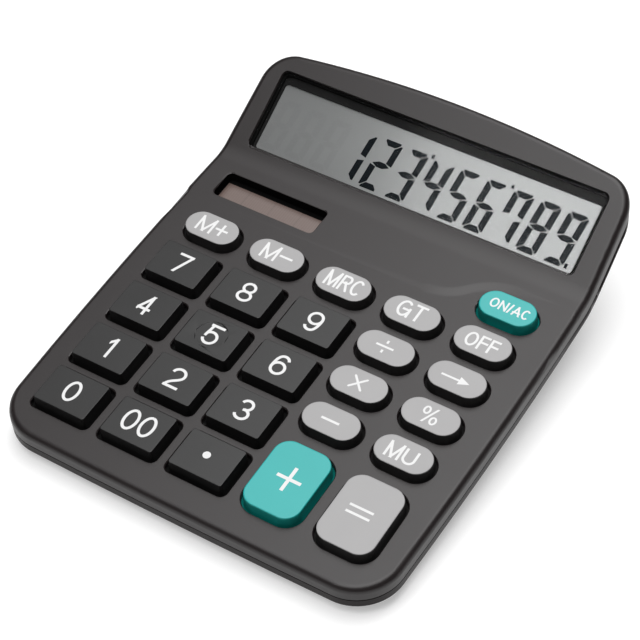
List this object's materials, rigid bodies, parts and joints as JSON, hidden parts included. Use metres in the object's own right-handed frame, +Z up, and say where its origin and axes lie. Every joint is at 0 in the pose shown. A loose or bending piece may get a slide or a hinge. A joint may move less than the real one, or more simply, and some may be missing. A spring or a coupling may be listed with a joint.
{
  "type": "desk calculator",
  "caption": "Desk calculator: bent two-shell casing on a wedge foot, tilted display under a clear window, solar cell, rubber-sprung keys and a sliding battery door.",
  "frame": {"origin": "on the table, under the middle of the whole object's box", "axes": "+Z up from the table, +Y to the back, where the display is, +X to the right as it is read"},
  "size_m": [0.1176, 0.1407, 0.0424],
  "materials": {
    "casing_charcoal": "fine satin moulded ABS, charcoal",
    "digit_black": "smooth moulded ABS, black",
    "key_grey": "light grey tops on black skirts, smooth ABS",
    "key_teal": "teal ABS, smooth",
    "window_clear": "clear flat acrylic",
    "lcd_frame_black": "black moulded surround",
    "lcd_glass": "grey reflective liquid crystal panel",
    "ribbon_film": "heat-seal film",
    "solar_brown": "amorphous cell, dark brown behind glass",
    "lead_copper": "tinned wire",
    "membrane_rubber": "grey silicone",
    "board_laminate": "paper laminate board",
    "chip_epoxy": "epoxy blob over the chip",
    "screw_steel": "plated steel",
    "foot_rubber": "black rubber",
    "cell_sleeve": "printed sleeve over a steel can, plain",
    "contact_nickel": "nickel plated spring steel"
  },
  "bodies": {
    "casing": {"upper_casing": "casing_charcoal", "lower_casing": "casing_charcoal", "casing_screws": "screw_steel", "rubber_feet": "foot_rubber", "display_window": "window_clear", "lcd_frame": "lcd_frame_black", "lcd_panel": "lcd_glass", "lcd_ribbon": "ribbon_film", "solar_cell": "solar_brown", "solar_leads": "lead_copper", "keypad_membrane": "membrane_rubber", "main_board": "board_laminate", "board_chip": "chip_epoxy", "board_screws": "screw_steel", "battery_cell": "cell_sleeve", "battery_positive": "contact_nickel", "battery_negative": "contact_nickel"},
    "key_7": {"key_7": "digit_black"},
    "key_8": {"key_8": "digit_black"},
    "key_9": {"key_9": "digit_black"},
    "key_4": {"key_4": "digit_black"},
    "key_5": {"key_5": "digit_black"},
    "key_6": {"key_6": "digit_black"},
    "key_1": {"key_1": "digit_black"},
    "key_2": {"key_2": "digit_black"},
    "key_3": {"key_3": "digit_black"},
    "key_0": {"key_0": "digit_black"},
    "key_00": {"key_00": "digit_black"},
    "key_point": {"key_point": "digit_black"},
    "key_memory_plus": {"key_memory_plus": "key_grey"},
    "key_memory_minus": {"key_memory_minus": "key_grey"},
    "key_memory_recall": {"key_memory_recall": "key_grey"},
    "key_grand_total": {"key_grand_total": "key_grey"},
    "key_off": {"key_off": "key_grey"},
    "key_divide": {"key_divide": "key_grey"},
    "key_backspace": {"key_backspace": "key_grey"},
    "key_times": {"key_times": "key_grey"},
    "key_percent": {"key_percent": "key_grey"},
    "key_minus": {"key_minus": "key_grey"},
    "key_markup": {"key_markup": "key_grey"},
    "key_on": {"key_on": "key_teal"},
    "key_plus": {"key_plus": "key_teal"},
    "key_equals": {"key_equals": "key_grey"},
    "battery_door": {"battery_door": "casing_charcoal"}
  },
  "joints": [
    {"name": "key_7_press", "type": "slide", "parent": "casing", "child": "key_7", "axis": [0, 0.1132, -0.9936], "range_m": [0, 0.0015], "stiffness_N_per_m": 400, "deforming": ["keypad_membrane"]},
    {"name": "key_8_press", "type": "slide", "parent": "casing", "child": "key_8", "axis": [0, 0.1132, -0.9936], "range_m": [0, 0.0015], "stiffness_N_per_m": 400, "deforming": ["keypad_membrane"]},
    {"name": "key_9_press", "type": "slide", "parent": "casing", "child": "key_9", "axis": [0, 0.1132, -0.9936], "range_m": [0, 0.0015], "stiffness_N_per_m": 400, "deforming": ["keypad_membrane"]},
    {"name": "key_4_press", "type": "slide", "parent": "casing", "child": "key_4", "axis": [0, 0.1132, -0.9936], "range_m": [0, 0.0015], "stiffness_N_per_m": 400, "deforming": ["keypad_membrane"]},
    {"name": "key_5_press", "type": "slide", "parent": "casing", "child": "key_5", "axis": [0, 0.1132, -0.9936], "range_m": [0, 0.0015], "stiffness_N_per_m": 400, "deforming": ["keypad_membrane"]},
    {"name": "key_6_press", "type": "slide", "parent": "casing", "child": "key_6", "axis": [0, 0.1132, -0.9936], "range_m": [0, 0.0015], "stiffness_N_per_m": 400, "deforming": ["keypad_membrane"]},
    {"name": "key_1_press", "type": "slide", "parent": "casing", "child": "key_1", "axis": [0, 0.1132, -0.9936], "range_m": [0, 0.0015], "stiffness_N_per_m": 400, "deforming": ["keypad_membrane"]},
    {"name": "key_2_press", "type": "slide", "parent": "casing", "child": "key_2", "axis": [0, 0.1132, -0.9936], "range_m": [0, 0.0015], "stiffness_N_per_m": 400, "deforming": ["keypad_membrane"]},
    {"name": "key_3_press", "type": "slide", "parent": "casing", "child": "key_3", "axis": [0, 0.1132, -0.9936], "range_m": [0, 0.0015], "stiffness_N_per_m": 400, "deforming": ["keypad_membrane"]},
    {"name": "key_0_press", "type": "slide", "parent": "casing", "child": "key_0", "axis": [0, 0.1132, -0.9936], "range_m": [0, 0.0015], "stiffness_N_per_m": 400, "deforming": ["keypad_membrane"]},
    {"name": "key_00_press", "type": "slide", "parent": "casing", "child": "key_00", "axis": [0, 0.1132, -0.9936], "range_m": [0, 0.0015], "stiffness_N_per_m": 400, "deforming": ["keypad_membrane"]},
    {"name": "key_point_press", "type": "slide", "parent": "casing", "child": "key_point", "axis": [0, 0.1132, -0.9936], "range_m": [0, 0.0015], "stiffness_N_per_m": 400, "deforming": ["keypad_membrane"]},
    {"name": "key_memory_plus_press", "type": "slide", "parent": "casing", "child": "key_memory_plus", "axis": [0, 0.1132, -0.9936], "range_m": [0, 0.0015], "stiffness_N_per_m": 400, "deforming": ["keypad_membrane"]},
    {"name": "key_memory_minus_press", "type": "slide", "parent": "casing", "child": "key_memory_minus", "axis": [0, 0.1132, -0.9936], "range_m": [0, 0.0015], "stiffness_N_per_m": 400, "deforming": ["keypad_membrane"]},
    {"name": "key_memory_recall_press", "type": "slide", "parent": "casing", "child": "key_memory_recall", "axis": [0, 0.1132, -0.9936], "range_m": [0, 0.0015], "stiffness_N_per_m": 400, "deforming": ["keypad_membrane"]},
    {"name": "key_grand_total_press", "type": "slide", "parent": "casing", "child": "key_grand_total", "axis": [0, 0.1132, -0.9936], "range_m": [0, 0.0015], "stiffness_N_per_m": 400, "deforming": ["keypad_membrane"]},
    {"name": "key_off_press", "type": "slide", "parent": "casing", "child": "key_off", "axis": [0, 0.1132, -0.9936], "range_m": [0, 0.0015], "stiffness_N_per_m": 400, "deforming": ["keypad_membrane"]},
    {"name": "key_divide_press", "type": "slide", "parent": "casing", "child": "key_divide", "axis": [0, 0.1132, -0.9936], "range_m": [0, 0.0015], "stiffness_N_per_m": 400, "deforming": ["keypad_membrane"]},
    {"name": "key_backspace_press", "type": "slide", "parent": "casing", "child": "key_backspace", "axis": [0, 0.1132, -0.9936], "range_m": [0, 0.0015], "stiffness_N_per_m": 400, "deforming": ["keypad_membrane"]},
    {"name": "key_times_press", "type": "slide", "parent": "casing", "child": "key_times", "axis": [0, 0.1132, -0.9936], "range_m": [0, 0.0015], "stiffness_N_per_m": 400, "deforming": ["keypad_membrane"]},
    {"name": "key_percent_press", "type": "slide", "parent": "casing", "child": "key_percent", "axis": [0, 0.1132, -0.9936], "range_m": [0, 0.0015], "stiffness_N_per_m": 400, "deforming": ["keypad_membrane"]},
    {"name": "key_minus_press", "type": "slide", "parent": "casing", "child": "key_minus", "axis": [0, 0.1132, -0.9936], "range_m": [0, 0.0015], "stiffness_N_per_m": 400, "deforming": ["keypad_membrane"]},
    {"name": "key_markup_press", "type": "slide", "parent": "casing", "child": "key_markup", "axis": [0, 0.1132, -0.9936], "range_m": [0, 0.0015], "stiffness_N_per_m": 400, "deforming": ["keypad_membrane"]},
    {"name": "key_on_press", "type": "slide", "parent": "casing", "child": "key_on", "axis": [0, 0.1132, -0.9936], "range_m": [0, 0.0015], "stiffness_N_per_m": 400, "deforming": ["keypad_membrane"]},
    {"name": "key_plus_press", "type": "slide", "parent": "casing", "child": "key_plus", "axis": [0, 0.1132, -0.9936], "range_m": [0, 0.0015], "stiffness_N_per_m": 400, "deforming": ["keypad_membrane"]},
    {"name": "key_equals_press", "type": "slide", "parent": "casing", "child": "key_equals", "axis": [0, 0.1132, -0.9936], "range_m": [0, 0.0015], "stiffness_N_per_m": 400, "deforming": ["keypad_membrane"]},
    {"name": "battery_door_slide", "type": "slide", "parent": "casing", "child": "battery_door", "axis": [0, 1, 0], "range_m": [0, 0.024]}
  ]
}
